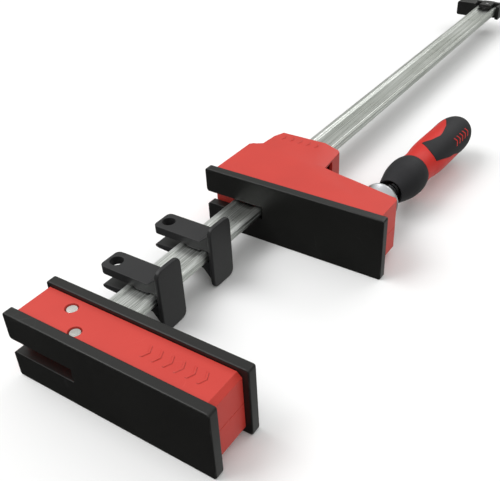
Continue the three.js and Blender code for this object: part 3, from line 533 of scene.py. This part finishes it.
# ---------------------------------------------------------------- making meshes
def piece_from(name, mesh_data, slot, body, sharp_angle=35):
    mesh = bpy.data.meshes.new(name)
    bmesh.ops.remove_doubles(mesh_data, verts=mesh_data.verts, dist=0.001 * MM)
    bmesh.ops.recalc_face_normals(mesh_data, faces=mesh_data.faces)
    mesh_data.to_mesh(mesh)
    mesh_data.free()
    mesh.polygons.foreach_set("use_smooth", [True] * len(mesh.polygons))
    mesh.set_sharp_from_angle(angle=math.radians(sharp_angle))
    piece = bpy.data.objects.new(name, mesh)
    bpy.context.scene.collection.objects.link(piece)
    coat_piece(piece, slot)
    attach(piece, body)
    return piece


def skin(mesh_data, rows, closed=True):
    """Faces between neighbouring rows of equally many points; a row of one point is a pole."""
    made = [[mesh_data.verts.new(point) for point in row] for row in rows]
    for near, far in zip(made, made[1:]):
        count = max(len(near), len(far))
        for i in range(count if closed else count - 1):
            j = (i + 1) % count
            corners = [near[i % len(near)], near[j % len(near)], far[j % len(far)], far[i % len(far)]]
            unique = list(dict.fromkeys(corners))
            if len(unique) > 2:
                mesh_data.faces.new(unique)


def ring(radius, distance, angles):
    """Points round the screw's axis at the given angles, or one point on it where the radius is 0."""
    return [screw_place(radius, distance, angle) for angle in (angles if radius else [0])]


def turned(name, outline, slot):
    """A turned piece round the screw's axis, on the screw's body."""
    angles = [360 * i / TURNED_SEGMENTS for i in range(TURNED_SEGMENTS)]
    mesh_data = bmesh.new()
    skin(mesh_data, [ring(radius, HANDLE_START + distance, angles) for radius, distance in outline])
    return piece_from(name, mesh_data, slot, "screw")


def give_wall(piece, name, thickness):
    """Thickens a surface piece inwards."""
    wall = piece.modifiers.new(name, "SOLIDIFY")
    wall.thickness = thickness * MM
    wall.offset = -1


# ---------------------------------------------------------------- handle and screw
def thread_radius(distance, angle):
    """A right-hand trapezoid thread, run out at both ends."""
    phase = (distance / LEAD - angle / 360) % 1
    crest = min(1.0, max(0.0, (THREAD_HALF_FOOT - abs(phase - 0.5)) / THREAD_FLANK))
    run_out = min(1.0, (distance - THREAD_START) / LEAD, (THREAD_END - distance) / LEAD)
    return THREAD_ROOT_RADIUS + (THREAD_RADIUS - THREAD_ROOT_RADIUS) * crest * max(0.0, run_out)


def make_screw():
    angles = [360 * i / THREAD_SEGMENTS for i in range(THREAD_SEGMENTS)]
    steps = round((THREAD_END - THREAD_START) / LEAD * THREAD_STEPS_PER_TURN)
    rows = [ring(radius, distance, angles) for radius, distance in SCREW_TIP_OUTLINE]
    for i in range(steps + 1):
        distance = THREAD_START + (THREAD_END - THREAD_START) * i / steps
        rows.append([screw_place(thread_radius(distance, a), distance, a) for a in angles])
    rows += [ring(radius, distance, angles) for radius, distance in SCREW_SHANK_OUTLINE]
    mesh_data = bmesh.new()
    skin(mesh_data, rows)
    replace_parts(piece_from("threaded_screw", mesh_data, "black_steel", "screw"), "spindle")


def make_collar():
    outline = [*COLLAR_BORE, *COLLAR_RECESS, *through(COLLAR_OUTLINE, 6), *COLLAR_BACK]
    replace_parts(turned("front_collar", outline, "soft_grip"), "handle_collar")


def make_handle_body():
    rounding = [(body_radius(distance), distance) for distance in BODY_DOME_STEPS]
    outline = [*BODY_FRONT, *BODY_CURVE, *rounding, *BODY_STUB]
    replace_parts(turned("handle_body", outline, "red_handle"), "handle_core")


def tongue_row(share, turn):
    """Points across one tongue, from its lower to its upper edge, at a share of the way back along it."""
    low_s, low_angle = along(TONGUE_LOWER_EDGE, share)
    high_s, high_angle = along(TONGUE_UPPER_EDGE, share)
    row = []
    for i in range(TONGUE_COLUMNS + 1):
        t = i / TONGUE_COLUMNS
        bulge = TONGUE_FRONT_BULGE * math.sin(math.pi * t) * (1 - share) ** 3
        distance = low_s + (high_s - low_s) * t - bulge
        angle = low_angle + (high_angle - low_angle) * t + turn
        row.append(screw_place(body_radius(distance) + GRIP_PROUD, HANDLE_START + distance, angle))
    return row


def make_grip():
    """The soft grip: a dome over the handle's end that runs forward in two tongues, half a turn apart."""
    mesh_data = bmesh.new()
    for turn in HALF_TURNS:
        skin(mesh_data, [tongue_row(i / TONGUE_ROWS, turn) for i in range(TONGUE_ROWS + 1)], closed=False)
    first_angle = TONGUE_LOWER_EDGE[-1][1]
    segments = 2 * TONGUE_COLUMNS
    angles = [first_angle + 360 * i / segments for i in range(segments)]
    seam_turn = math.asin((SEAM - DOME_START) / DOME_LENGTH)
    rows = []
    for step in range(DOME_ROWS):
        turn = seam_turn + (math.pi / 2 - seam_turn) * step / DOME_ROWS
        distance = DOME_START + DOME_LENGTH * math.sin(turn)
        radius = body_radius(distance) + GRIP_PROUD * math.cos(turn) / math.cos(seam_turn)
        rows.append(ring(radius, HANDLE_START + distance, angles))
    rows.append(ring(0, HANDLE_START + DOME_START + DOME_LENGTH, angles))
    skin(mesh_data, rows)
    piece = piece_from("soft_grip", mesh_data, "soft_grip", "screw", sharp_angle=180)
    give_wall(piece, "wall", GRIP_DEPTH)
    round_edges(piece, GRIP_EDGE_RADIUS, sharp_angle=50)
    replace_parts(piece, "handle_grip")


def chevron_row(start, turn):
    """Points along one edge of a chevron, which starts at a distance behind the handle's front face."""
    row = []
    for i in range(2 * CHEVRON_STEPS + 1):
        t = i / CHEVRON_STEPS - 1
        distance = start + CHEVRON_LEAN * (1 - abs(t))
        angle = CHEVRON_CENTRE_ANGLE + CHEVRON_HALF_ANGLE * t + turn
        row.append(screw_place(body_radius(distance) + CHEVRON_PROUD, HANDLE_START + distance, angle))
    return row


def make_grip_marks():
    """Generic red chevrons let into the grip, pointing at the handle's end."""
    mesh_data = bmesh.new()
    for turn in HALF_TURNS:
        for number in range(CHEVRON_COUNT):
            start = CHEVRON_START + number * CHEVRON_PITCH
            edges = [chevron_row(start, turn), chevron_row(start + CHEVRON_STROKE, turn)]
            skin(mesh_data, edges, closed=False)
    piece = piece_from("grip_chevrons", mesh_data, "red_handle", "screw")
    give_wall(piece, "inlay", CHEVRON_DEPTH)


# ---------------------------------------------------------------- floor
def make_floor():
    mesh_data = bmesh.new()
    bmesh.ops.create_grid(mesh_data, x_segments=8, y_segments=8, size=6)
    mesh = bpy.data.meshes.new("floor")
    mesh_data.to_mesh(mesh)
    mesh_data.free()
    floor = bpy.data.objects.new("floor", mesh)
    bpy.context.scene.collection.objects.link(floor)
    material, _, shader = new_finish("pale_floor")
    shader.inputs["Base Color"].default_value = (0.9, 0.9, 0.9, 1)
    shader.inputs["Roughness"].default_value = 0.7
    floor.data.materials.append(material)
    floor.visible_glossy = False


# ---------------------------------------------------------------- the whole scene
set_camera()
set_light()
set_world()
make_floor()
finish_cad_nodes()
make_screw()
make_collar()
make_handle_body()
make_grip()
make_grip_marks()

bpy.context.scene.view_settings.view_transform = "Standard"
bpy.context.scene.view_settings.look = "None"
